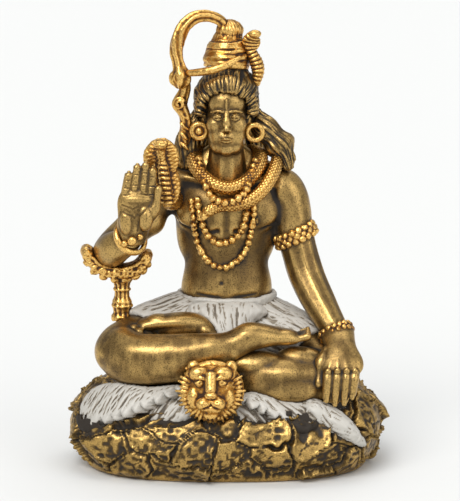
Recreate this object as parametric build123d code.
"""Seated deity statue on a rock, cast in sections that are pinned and bonded together.

Millimetres. +Z is up, the figure faces -Y and its own left side is at +X.
The origin is at the middle of the footprint, on the surface that the statue stands on.
"""

from math import cos, pi, radians, sin, sqrt
import os

from build123d import *

# Driving dimensions
BASE_WIDTH = 208.0
BASE_DEPTH = 138.0
FELT_THICKNESS = 1.6
CLOTH_THICKNESS = 2.6
FIT_GAP = 0.15
BEAD_PITCH = 2.1

# Landmarks of the figure
NECK_FOOT = Vector(0, 12, 190)
LEFT_SHOULDER = Vector(37, 13, 184)
LEFT_ARMLET = Vector(45.5, 9, 150)
LEFT_ELBOW = Vector(53, 4, 124)
LEFT_BRACELET = Vector(72, -22, 91.5)
LEFT_KNEE = Vector(67, -24, 63.5)
RIGHT_SHOULDER = Vector(-35, 13, 185)
RIGHT_ELBOW = Vector(-77, -2, 142)
RIGHT_BRACELET = Vector(-62, -31, 156)
RIGHT_KNEE = Vector(-69, -22, 79)
HEAD_TOP = Vector(-1, 5, 263)


def place(station):
    """The point of a station, which is (x, y, z, half width, half thickness)."""
    return Vector(*station[:3])


def dome(near, inner, flat_share=0.25):
    """Stations that round off an end: they shrink outward from the last full section."""
    out = (place(near) - place(inner)).normalized()
    reach = min(near[3], near[4])
    rounded = []
    for turn in (30, 55, 75):
        shrink = cos(radians(turn)) * (1 - flat_share) + flat_share * (1 - turn / 90)
        at = place(near) + out * reach * sin(radians(turn))
        rounded.append((at.X, at.Y, at.Z, near[3] * shrink, near[4] * shrink))
    return rounded


def oval(half_width, half_depth, fullness=2.0, corners=12):
    """A smooth closed section; a fullness above 2 swells it between its four extremes."""
    ring = []
    for i in range(corners):
        turn = 2 * pi * i / corners
        x, y = cos(turn), sin(turn)
        swell = (abs(x) ** fullness + abs(y) ** fullness) ** (-1 / fullness)
        ring.append((half_width * x * swell, half_depth * y * swell))
    return make_face(Spline(*ring, periodic=True))


def limb(stations, side=(0, 0, 1), round_start=True, round_end=True):
    """One smooth solid through elliptical sections; side is the way that each half width lies."""
    run = list(stations)
    if round_start:
        run = dome(run[0], run[1])[::-1] + run
    if round_end:
        run = run + dome(run[-1], run[-2])
    sections = []
    for i, station in enumerate(run):
        before = place(run[max(i - 1, 0)])
        after = place(run[min(i + 1, len(run) - 1)])
        heading = (after - before).normalized()
        across = Vector(*side)
        across = (across - heading * across.dot(heading)).normalized()
        plane = Plane(origin=place(station), x_dir=across, z_dir=heading)
        sections.append(plane * oval(station[3], station[4]))
    return loft(sections)


def egg(centre, half_x, half_y, half_z):
    """A rounded lump with the three half sizes given."""
    x, y, z = centre
    levels = [-0.97, -0.8, -0.5, 0, 0.5, 0.8, 0.97]
    stations = []
    for level in levels:
        girth = sqrt(1 - level * level)
        stations.append((x, y, z + level * half_z, half_x * girth, half_y * girth))
    return limb(stations, side=(1, 0, 0), round_start=False, round_end=False)


def stack(levels, fullness=2.5):
    """A solid of level sections; each level is (z, half width, half depth, shift back)."""
    return loft([Pos(0, shift, z) * oval(a, b, fullness) for z, a, b, shift in levels])


def beads(points, radius):
    """A string of separate beads that almost touch each other."""
    line = Spline(*points)
    count = int(line.length / (radius * BEAD_PITCH))
    return Part(children=[Pos(*(line @ (i / count))) * Sphere(radius) for i in range(count + 1)])


def bead_ring(centre, heading, reach, radius, rows=1):
    """Rows of beads around a limb; reach is the distance of their centres from its axis."""
    count = int(2 * pi * reach / (radius * BEAD_PITCH))
    ring = []
    for row in range(rows):
        lift = (row - (rows - 1) / 2) * radius * 1.8
        plane = Plane(origin=centre, z_dir=heading)
        for i in range(count):
            turn = 2 * pi * (i + 0.5 * row) / count
            spot = plane.from_local_coords(Vector(reach * cos(turn), reach * sin(turn), lift))
            ring.append(Pos(*spot) * Sphere(radius))
    return Part(children=ring)


def behind(centre, heading, size=60):
    """A block that ends at the plane of a joint and takes off what lies behind it."""
    return Plane(origin=centre, z_dir=heading) * Pos(0, 0, -size / 2) * Box(size, size, size)


def trim(shape, *cutters):
    """The shape with its neighbours taken out, less any crumb that the cuts leave."""
    for cutter in cutters:
        shape = shape - cutter
    solids = shape.solids()
    largest = max(s.volume for s in solids)
    whole = [s for s in solids if s.volume > largest * 0.004]
    return whole[0] if len(whole) == 1 else Part(children=whole)


# ---------------------------------------------------------------- rock base
def mound():
    """The outer form of the rock."""
    w, d = BASE_WIDTH / 2, BASE_DEPTH / 2
    levels = [
        (0, w * 0.86, d * 0.84, 0),
        (8, w * 0.94, d * 0.94, 0),
        (20, w * 0.985, d * 1.0, 0),
        (32, w * 1.0, d * 0.98, 0),
        (43, w * 0.95, d * 0.90, 1),
        (51, w * 0.86, d * 0.77, 4),
        (57, w * 0.72, d * 0.60, 8),
        (64, w * 0.48, d * 0.36, 14),
        (69, w * 0.26, d * 0.18, 17),
    ]
    return stack(levels)


rock_outside = mound()
hollow = stack(
    [
        (0, BASE_WIDTH * 0.36, BASE_DEPTH * 0.33, 0),
        (20, BASE_WIDTH * 0.38, BASE_DEPTH * 0.35, 0),
        (34, BASE_WIDTH * 0.34, BASE_DEPTH * 0.28, 2),
    ]
)
felt_recess = Pos(0, 0, FELT_THICKNESS / 2) * extrude(
    Ellipse(BASE_WIDTH * 0.405, BASE_DEPTH * 0.385), FELT_THICKNESS / 2, both=True
)
felt = Pos(0, 0, FELT_THICKNESS / 2) * extrude(
    Ellipse(BASE_WIDTH * 0.405 - FIT_GAP, BASE_DEPTH * 0.385 - FIT_GAP), FELT_THICKNESS / 2, both=True
)

# ---------------------------------------------------------------- legs
right_thigh = limb(
    [
        (-20, 16, 90, 20, 20),
        (-42, 2, 87, 19, 19),
        (-58, -12, 82.5, 18.5, 19),
        (*RIGHT_KNEE, 18, 18.5),
    ]
)
right_shin = limb(
    [
        (-70, -24, 78.5, 18, 15),
        (-60, -35, 77, 17.5, 14),
        (-42, -40, 77.5, 16.5, 14),
        (-22, -42, 80.5, 14.5, 12.5),
        (-6, -42, 84, 11.5, 11),
        (6, -41, 88, 9.5, 9.5),
        (14, -40, 92, 9.8, 9.8),
        (24, -37, 92.5, 8, 10.5),
        (34, -34, 91.5, 6, 10.5),
        (43, -32, 90.5, 4.8, 9.5),
    ]
)
left_thigh = limb(
    [
        (20, 16, 88, 20, 20),
        (42, 2, 80, 19.5, 19.5),
        (57, -12, 71, 19, 19),
        (*LEFT_KNEE, 18, 18.5),
    ]
)
left_shin = limb(
    [
        (68, -25, 64, 18, 15),
        (58, -33, 62.5, 17.5, 14.5),
        (40, -38, 62.5, 17.5, 14),
        (20, -37, 64.5, 15, 12.5),
        (4, -31, 69.5, 11.5, 10.5),
        (-7, -24, 79, 9, 9),
        (-14, -19, 90, 8.5, 8.5),
        (-22, -19, 97, 7, 8.5),
        (-34, -20, 98.5, 5.8, 9.5),
        (-46, -20, 97.5, 5.0, 9.5),
        (-55, -19, 96.5, 4.2, 9),
    ],
)


def toes(first, across, ahead, radius, length):
    """Five toes side by side, the great toe first and each shorter than the last."""
    across, ahead = across.normalized(), ahead.normalized()
    row = []
    for i in range(5):
        small = 1 - 0.11 * i
        root = first + across * (i * radius * 1.75)
        tip = root + ahead * (length * small)
        r = radius * small
        row.append(limb([(*root, r, r), (*((root + tip) / 2), r * 0.95, r * 0.95), (*tip, r, r)]))
    return row


right_toes = toes(Vector(44, -39, 90), Vector(0.25, 1, 0.15), Vector(1, 0.1, 0.25), 2.5, 8)
left_toes = toes(Vector(-56, -26, 95.5), Vector(-0.15, 1, 0.1), Vector(-1, 0, -0.15), 2.3, 7.5)

# ---------------------------------------------------------------- torso and arms
torso_body = limb(
    [
        (0, 14, 98, 26, 17),
        (0, 13, 106, 29.5, 19.5),
        (0, 12.5, 117, 30.5, 20.5),
        (0, 13, 127, 28.5, 19.5),
        (0, 13.5, 137, 27.5, 19),
        (0, 13.5, 149, 29.5, 20.5),
        (0, 13.5, 161, 33.5, 22.5),
        (0, 13.5, 172, 37.5, 23),
        (0, 14, 181, 39.5, 20.5),
        (0, 14, 188, 36, 16.5),
        (0, 13, 194, 25, 13.5),
    ],
    side=(1, 0, 0),
)
neck = limb(
    [(*NECK_FOOT, 13.5, 12.5), (0, 9.5, 201, 11.5, 11.5), (0, 7, 212, 11, 11.5), (0, 6, 224, 11, 12)],
    side=(1, 0, 0),
    round_start=False,
)
right_leg = trim(right_thigh, torso_body).fuse(right_shin, *right_toes)
left_lower_leg = trim(left_shin, right_thigh, right_shin)
left_leg = trim(left_thigh, torso_body, right_thigh).fuse(left_lower_leg, *left_toes)

left_upper_arm = limb(
    [
        (24, 14, 186, 11, 11),
        (*LEFT_SHOULDER, 14, 13.5),
        (41.5, 11.5, 172, 14, 13.5),
        (43.8, 10, 161, 13, 12.6),
        (44.7, 9.5, 155, 12.5, 12.3),
        (*LEFT_ARMLET, 12.2, 12.2),
    ],
    side=(0, 1, 0),
    round_end=False,
)
left_forearm = limb(
    [
        (*LEFT_ARMLET, 12.2, 12.2),
        (48.5, 7.5, 139, 12.2, 12.2),
        (*LEFT_ELBOW, 12.3, 12),
        (58.5, -2, 111, 12, 11.8),
        (65.5, -12, 101, 10.6, 10.6),
        (*LEFT_BRACELET, 9, 9),
    ],
    side=(0, 1, 0),
    round_start=False,
    round_end=False,
)
right_upper_arm = limb(
    [
        (-22, 14, 187, 11, 11),
        (*RIGHT_SHOULDER, 14, 13.5),
        (-47, 10, 173, 13.5, 13),
        (-61, 4.5, 157, 12.5, 12.5),
        (*RIGHT_ELBOW, 11.5, 11.5),
    ],
    side=(0, 1, 0),
)
right_forearm = limb(
    [
        (-78, -4, 141, 11, 11),
        (-75, -12, 144.5, 11.5, 11.5),
        (-68.5, -22, 150, 10.5, 10.5),
        (*RIGHT_BRACELET, 8.8, 8.8),
    ],
    side=(1, 0, 0),
    round_end=False,
)


def finger(points, radii):
    """One finger, from its knuckle to its tip."""
    return limb([(*p, r, r) for p, r in zip(points, radii)])


# the left hand lies on the knee with its fingers down
left_wrist_heading = LEFT_BRACELET - Vector(65.5, -12, 101)
left_palm = limb(
    [
        (*(LEFT_BRACELET - left_wrist_heading * 0.25), 9.2, 9.2),
        (73.5, -31.5, 87, 10.5, 7),
        (74.5, -40.5, 80, 12.6, 5.6),
        (74.8, -47, 71.5, 13, 5),
    ],
    side=(1, 0, 0),
    round_start=False,
)
left_fingers = []
for root_x, tip_x, tip_z in [(65.5, 64.5, 51), (71.5, 70, 48.5), (77.5, 76, 49), (83, 81, 53)]:
    root = Vector(root_x, -47.5, 70)
    tip = Vector(tip_x, -50.5, tip_z + 3)
    middle = (root + tip) / 2 + Vector(0, -2.2, 1)
    left_fingers.append(finger([root, middle, tip], [3.2, 3.0, 2.4]))
left_thumb = finger(
    [Vector(67, -35, 83), Vector(60.5, -44, 74), Vector(59.5, -48, 63)], [4, 3.6, 2.8]
)
left_hand = trim(left_palm, behind(LEFT_BRACELET, left_wrist_heading)).fuse(*left_fingers, left_thumb)

# the right hand is raised with its palm to the front
right_palm = limb(
    [
        (*RIGHT_BRACELET, 8.8, 8.8),
        (-60, -35, 164, 10.5, 7),
        (-58, -37, 174, 12.4, 5.6),
        (-55.5, -37.5, 184, 12.2, 4.6),
    ],
    side=(1, 0, 0),
    round_start=False,
)
right_fingers = []
for root_x, tip_x, tip_z in [(-65, -62.5, 200), (-59.5, -57, 205), (-54, -51.5, 206.5), (-48.5, -47, 203)]:
    root = Vector(root_x, -37.5, 184)
    tip = Vector(tip_x, -38.5, tip_z - 2.5)
    right_fingers.append(finger([root, (root + tip) / 2 + Vector(0, 0.8, 0), tip], [3.1, 2.9, 2.4]))
right_thumb = finger(
    [Vector(-52, -37, 168), Vector(-45.5, -39.5, 178), Vector(-43.5, -40.5, 189)], [4.2, 3.6, 2.7]
)
right_hand = right_palm.fuse(*right_fingers, right_thumb)

# ---------------------------------------------------------------- head and hair
skull = limb(
    [
        (0, -5.5, 210.5, 6, 6),
        (0, -3, 214, 8.8, 10),
        (0, 0, 219, 11.2, 14),
        (0, 2, 225, 12.6, 16.5),
        (0, 3.5, 232, 13.3, 18),
        (0, 4.5, 240, 13.8, 18.8),
        (0, 5, 246, 13.4, 18.2),
        (0, 5.5, 251, 11.5, 15.5),
    ],
    side=(1, 0, 0),
)
nose = limb(
    [(0, -13.6, 237.5, 1.7, 1.6), (0, -15, 232.5, 1.9, 2), (0, -16.2, 227.5, 2.9, 2.6)],
    side=(1, 0, 0),
)
ears = [
    limb(
        [(s * 13.6, 4, 236, 1.8, 3.4), (s * 14.6, 3.5, 231, 2.1, 4), (s * 14.2, 2.5, 224.5, 1.8, 2.8)],
        side=(1, 0, 0),
    )
    for s in (-1, 1)
]
head = skull.fuse(neck, nose, *ears)

hair_mass = limb(
    [
        (0, 15, 222, 15.5, 9),
        (0, 11.5, 230, 19.5, 13.5),
        (0, 8, 239, 21.2, 18),
        (0, 6, 248, 20.6, 20.8),
        (0, 5, 256, 17, 18.5),
        (*HEAD_TOP, 13, 13.5),
    ],
    side=(1, 0, 0),
    round_end=False,
)
face_window = Pos(0, -20, 231) * Rot(X=12) * Box(27.5, 36, 32)
hair_cap = trim(hair_mass, head, face_window)

topknot = limb(
    [
        (*HEAD_TOP, 13, 13.5),
        (0, 5, 268, 15.5, 15),
        (0.5, 5, 274, 13.5, 13),
        (1, 5, 280, 10.5, 10),
        (2, 5, 286, 8.2, 8),
    ],
    side=(1, 0, 0),
    round_start=False,
)
tie_form = limb(
    [(1, 5, 276.2, 14, 13.4), (1, 5, 279.6, 12.4, 12)],
    side=(1, 0, 0),
    round_start=False,
    round_end=False,
)
topknot_tie = trim(tie_form, topknot)

back_hair = limb(
    [
        (0, 24, 240, 14, 8),
        (0, 30, 222, 21, 9),
        (0, 35, 203, 26, 9.5),
        (0, 39, 184, 25, 8.5),
        (0, 41, 166, 19, 6.5),
        (0, 41, 153, 10, 4.5),
    ],
    side=(1, 0, 0),
)
left_hair_lock = limb(
    [
        (15, 16, 232, 6, 5),
        (22, 12, 225, 7.5, 6),
        (31, 9, 216, 8, 6.5),
        (37.5, 8, 206, 7, 6),
        (40, 7, 198.5, 4.5, 4.5),
    ],
    side=(1, 0, 1),
)
right_hair_lock = limb(
    [
        (-16, 15, 232, 5, 5),
        (-22, 12, 222, 6.5, 6),
        (-26, 10, 210, 8, 7),
        (-27, 9, 200, 6.5, 6),
    ],
    side=(1, 0, 0),
)

# ---------------------------------------------------------------- cloth and pelt
def grown(stations, by):
    """The same stations with every section grown."""
    return [(x, y, z, a + by, b + by) for x, y, z, a, b in stations]


right_thigh_wrap = limb(
    grown([(-14, 17, 91, 20, 20), (-42, 2, 87, 19, 19), (-56, -10, 83, 18.5, 19)], CLOTH_THICKNESS),
    round_end=False,
)
left_thigh_wrap = limb(
    grown([(14, 17, 89, 20, 20), (42, 2, 80, 19.5, 19.5), (54, -9, 72.5, 18.5, 19)], CLOTH_THICKNESS),
    round_end=False,
)
waist_wrap = limb(
    [(0, 13.5, 103, 32, 22), (0, 12.8, 108, 32.4, 22.6), (0, 12.5, 112, 32.6, 22.8)],
    side=(1, 0, 0),
    round_start=False,
    round_end=False,
)
front_panel = limb(
    [(0, -6.5, 106, 24, 5), (0, -13, 99, 20, 6), (0, -20, 91, 13, 5)],
    side=(1, 0, 0),
    round_start=False,
)
leg_forms = [right_thigh, right_shin, left_thigh, left_shin]
right_wrap_form = right_thigh_wrap
front_panel = trim(front_panel, torso_body, right_thigh_wrap, left_thigh_wrap, right_shin, left_shin)
waist_wrap = trim(waist_wrap, torso_body, right_thigh_wrap, left_thigh_wrap)
right_thigh_wrap = trim(right_thigh_wrap, torso_body, *leg_forms)
left_thigh_wrap = trim(left_thigh_wrap, torso_body, right_thigh_wrap, *leg_forms)

down_the_front = (0, 0.6, 0.8)
pelt_right = limb(
    [(-20, -54, 51, 9, 3), (-45, -53, 49, 13, 4), (-70, -44, 47, 15, 4), (-92, -27, 39, 11, 3.5)],
    side=down_the_front,
)
pelt_left = limb(
    [(8, -55, 48, 9, 3), (35, -54, 43, 11, 4), (62, -47, 39, 12, 4), (87, -31, 31, 9, 3.5)],
    side=down_the_front,
)
pelt_back = limb(
    [(0, 44, 64, 58, 4), (0, 56, 55, 62, 4), (0, 64, 40, 60, 3.5), (0, 67, 27, 52, 3)],
    side=(1, 0, 0),
)

TIGER_X = -9
TIGER_SEAM_Y = -61.5
tiger_behind = Pos(TIGER_X, TIGER_SEAM_Y + 20, 60) * Box(60, 40, 60)
tiger_skull = egg((TIGER_X, -61, 63.5), 15.5, 11, 16)
tiger_muzzle = egg((TIGER_X, -70, 55), 8.5, 7, 8)
tiger_jaw = egg((TIGER_X, -67, 47), 6.5, 6, 5)
tiger_ears = [egg((TIGER_X + s * 12, -63, 77.5), 4.2, 3, 4.5) for s in (-1, 1)]
tiger_head = trim(tiger_skull.fuse(tiger_muzzle, tiger_jaw, *tiger_ears), tiger_behind)
tiger_ruff = limb(
    [(TIGER_X, -56, 61, 19, 18.5), (TIGER_X, -58.5, 61, 20.5, 20), (TIGER_X, TIGER_SEAM_Y, 61, 17.5, 17)],
    side=(1, 0, 0),
    round_start=False,
    round_end=False,
)

# ---------------------------------------------------------------- arm rest
rest_axis_x, rest_axis_y = -69.0, -4.0
rest_profile = Polyline(
    (0, 96), (7.2, 96), (7.2, 99), (5.6, 101), (6.4, 106), (6.4, 109), (4.9, 112), (4.6, 116), (5.4, 121),
    (9.5, 127), (11.5, 131), (0, 131), (0, 96),
)
rest_column = Pos(rest_axis_x, rest_axis_y, 0) * revolve(Plane.XZ * make_face(rest_profile), Axis.Z)
rest_cradle = limb(
    [
        (-92, -5, 143, 4, 9),
        (-86.5, -5, 135, 4.5, 10),
        (-77, -4.5, 130, 4.5, 11),
        (-66, -4, 129.5, 4.5, 11),
        (-57, -4, 133, 4.5, 10),
        (-52.5, -4, 139.5, 4, 9),
    ],
)
arm_rest = trim(rest_column.fuse(rest_cradle), right_upper_arm, right_forearm, right_thigh, right_thigh_wrap)

# ---------------------------------------------------------------- streams, moon and serpents
river_stream = limb(
    [
        (-0.5, 3, 288, 3.6, 3.6),
        (-4.5, 2, 293.5, 3.2, 3.2),
        (-11.5, 1, 296.6, 3.3, 3.3),
        (-20.5, 0, 295.8, 3.8, 3.8),
        (-27.5, -1, 290, 4.3, 4.3),
        (-31.6, -2, 281, 4.4, 4.4),
        (-32.3, -3, 271.5, 4, 4),
        (-30.5, -4, 264, 4, 4),
        (-29.5, -4.5, 258.5, 6.2, 5.6),
        (-30, -4.5, 254.5, 5.6, 5),
    ],
    side=(0, 1, 0),
)
moon_stations = []
for step in range(9):
    share = step / 8
    sweep = pi * (0.08 + 0.84 * share)
    thick = 1.3 + 1.1 * sin(pi * share)
    moon_stations.append((-9 - 17 * cos(sweep), -1 - 13.5 * sin(sweep), 260.5 + 9 * share, thick, thick))
crescent_moon = limb(moon_stations)
side_stream = limb(
    [
        (-27, 2, 253.5, 3, 3),
        (-27.5, 2, 247, 3.6, 3.2),
        (-30.5, 2, 239.5, 5, 3.8),
        (-27.6, 3, 231.5, 4.2, 3.6),
        (-27, 4, 221, 3.8, 3.4),
        (-27.5, 5, 211, 3.2, 3),
    ],
    side=(1, 0, 0),
)
topknot_serpent = limb(
    [
        (19.5, 1, 253, 2.6, 2.6),
        (20.6, 0, 260, 4, 4),
        (18.8, -1, 268, 4.2, 4),
        (15.8, -2, 275, 3.6, 3.2),
        (15.6, -4, 281, 5.4, 2.8),
        (17.2, -6.5, 285, 3.6, 2.6),
    ],
    side=(1, 0, 0),
)
inner_coil = limb(
    [
        (15.5, 21, 206, 4.6, 4.6),
        (23.5, 10, 206, 5, 5),
        (22, -2.5, 199, 5, 5),
        (14.5, -10.5, 189.5, 5, 5),
        (2, -13.5, 184.5, 5, 5),
        (-11, -12, 188.5, 5, 5),
        (-20.5, -4.5, 197.5, 5, 5),
        (-23, 8, 205.5, 5, 5),
        (-15.5, 20, 206, 4.6, 4.6),
    ],
)
outer_coil = limb(
    [
        (33.5, 15, 206, 4, 4),
        (34, 5, 202, 4.4, 4.4),
        (29, -8, 190.5, 4.4, 4.4),
        (19.5, -15, 179.5, 4.4, 4.4),
        (6, -17.5, 174.8, 4.2, 4.2),
        (-5, -17.5, 175.6, 3.4, 3.4),
        (-12.5, -17, 170.5, 3.2, 2.6),
    ],
)
hood_serpent = limb(
    [
        (-31, 2, 176, 5, 5),
        (-36, -7, 174, 6, 6),
        (-39, -17, 178, 7, 6),
        (-40, -22.5, 190, 10.5, 5.5),
        (-41.5, -24, 202, 13.2, 5),
        (-42.5, -26, 211.5, 10.5, 5),
        (-42.5, -30, 216, 6, 4),
    ],
    side=(1, 0, 0),
)

# ---------------------------------------------------------------- beads and ornaments
collar_run = [
    (19, -4, 203), (16.5, -9.5, 193), (9, -21, 176.5), (0, -22.5, 172),
    (-10, -19.5, 176), (-17, -9.5, 193), (-19, -3, 203),
]
short_run = [
    (14, -19, 178), (12.5, -16.5, 165), (8, -14, 154), (-3, -12.5, 148),
    (-12, -14, 153), (-17, -16, 165), (-19, -18.5, 178),
]
long_run = [
    (18, -18, 176), (17, -14.5, 160), (12.5, -11.5, 143), (4, -10.5, 134),
    (-5, -10.5, 132), (-14, -11, 138), (-20, -13, 152), (-23, -16.5, 177),
]
collar_beads = beads(collar_run, 2.1)
short_beads = beads(short_run, 2.1)
long_beads = beads(long_run, 1.9)
armlet_heading = (LEFT_ELBOW - LEFT_SHOULDER).normalized() + Vector(-0.28, 0, 0)
left_armlet = bead_ring(LEFT_ARMLET + Vector(0.3, 0, 0), armlet_heading, 13.6, 2.3, rows=2)
left_bracelet = bead_ring(LEFT_BRACELET, LEFT_BRACELET - LEFT_ELBOW, 10.2, 1.8, rows=2)
wrist_heading = Vector(RIGHT_BRACELET.X + 72, RIGHT_BRACELET.Y + 18, RIGHT_BRACELET.Z - 147)
right_bracelet = Plane(origin=RIGHT_BRACELET, z_dir=wrist_heading) * (Torus(10.2, 2.3) - Cylinder(9.4, 8))
left_earring = Pos(18.5, -1, 220.5) * Rot(Y=12) * Rot(X=90) * Torus(5, 1.7)
right_earring = (Pos(-17.8, -1, 221.5) * Rot(Y=-10) * Rot(X=90) * Torus(4.6, 1.9)).fuse(
    Pos(-17.8, -1, 221.5) * Sphere(2.9)
)

# ---------------------------------------------------------------- fit the pieces together
torso = trim(torso_body, head)
left_upper_arm = trim(left_upper_arm, torso)
right_upper_arm = trim(right_upper_arm, torso)
right_forearm = trim(right_forearm, right_upper_arm)
left_forearm = trim(left_forearm, left_upper_arm)
left_thigh_wrap = trim(left_thigh_wrap, left_forearm)
right_hand = trim(right_hand, right_forearm)
back_hair = trim(back_hair, hair_cap, head, torso, left_upper_arm, right_upper_arm)
left_hair_lock = trim(left_hair_lock, hair_cap, head, torso, left_upper_arm, back_hair)
right_hair_lock = trim(right_hair_lock, hair_cap, head, torso, right_upper_arm, back_hair)
inner_coil = trim(inner_coil, head, torso, back_hair, left_hair_lock, right_hair_lock)
outer_coil = trim(outer_coil, torso, left_upper_arm, back_hair, left_hair_lock)
hood_serpent = trim(hood_serpent, right_upper_arm, torso, right_hand, right_hair_lock)
left_earring = trim(left_earring, head, hair_cap, left_hair_lock, back_hair)
right_earring = trim(right_earring, head, hair_cap, right_hair_lock, back_hair)
side_stream = trim(side_stream, hair_cap, head, right_hair_lock, right_earring, back_hair)
river_stream = trim(river_stream, topknot, side_stream)
crescent_moon = trim(crescent_moon, topknot)
topknot_serpent = trim(topknot_serpent, topknot, hair_cap, topknot_tie)
pelt_right = trim(pelt_right, right_thigh, right_shin)
pelt_left = trim(pelt_left, left_thigh, left_shin)
rock_base = trim(
    rock_outside, hollow, felt_recess, right_wrap_form, *leg_forms, pelt_right, pelt_left, pelt_back
)

pieces = {
    "rock_base": rock_base,
    "base_felt": felt,
    "pelt_right": pelt_right,
    "pelt_left": pelt_left,
    "pelt_back": pelt_back,
    "tiger_head": tiger_head,
    "tiger_ruff": tiger_ruff,
    "right_leg": right_leg,
    "left_leg": left_leg,
    "waist_wrap": waist_wrap,
    "front_panel": front_panel,
    "right_thigh_wrap": right_thigh_wrap,
    "left_thigh_wrap": left_thigh_wrap,
    "torso": torso,
    "left_upper_arm": left_upper_arm,
    "left_forearm": left_forearm,
    "left_hand": left_hand,
    "right_upper_arm": right_upper_arm,
    "right_forearm": right_forearm,
    "right_hand": right_hand,
    "head": head,
    "hair_cap": hair_cap,
    "topknot": topknot,
    "topknot_tie": topknot_tie,
    "back_hair": back_hair,
    "left_hair_lock": left_hair_lock,
    "right_hair_lock": right_hair_lock,
    "river_stream": river_stream,
    "crescent_moon": crescent_moon,
    "side_stream": side_stream,
    "topknot_serpent": topknot_serpent,
    "inner_coil": inner_coil,
    "outer_coil": outer_coil,
    "hood_serpent": hood_serpent,
    "collar_beads": collar_beads,
    "short_beads": short_beads,
    "long_beads": long_beads,
    "left_armlet": left_armlet,
    "left_bracelet": left_bracelet,
    "right_bracelet": right_bracelet,
    "left_earring": left_earring,
    "right_earring": right_earring,
    "arm_rest": arm_rest,
}

os.makedirs("parts", exist_ok=True)
for name, shape in pieces.items():
    export_step(shape, f"parts/{name}.step")
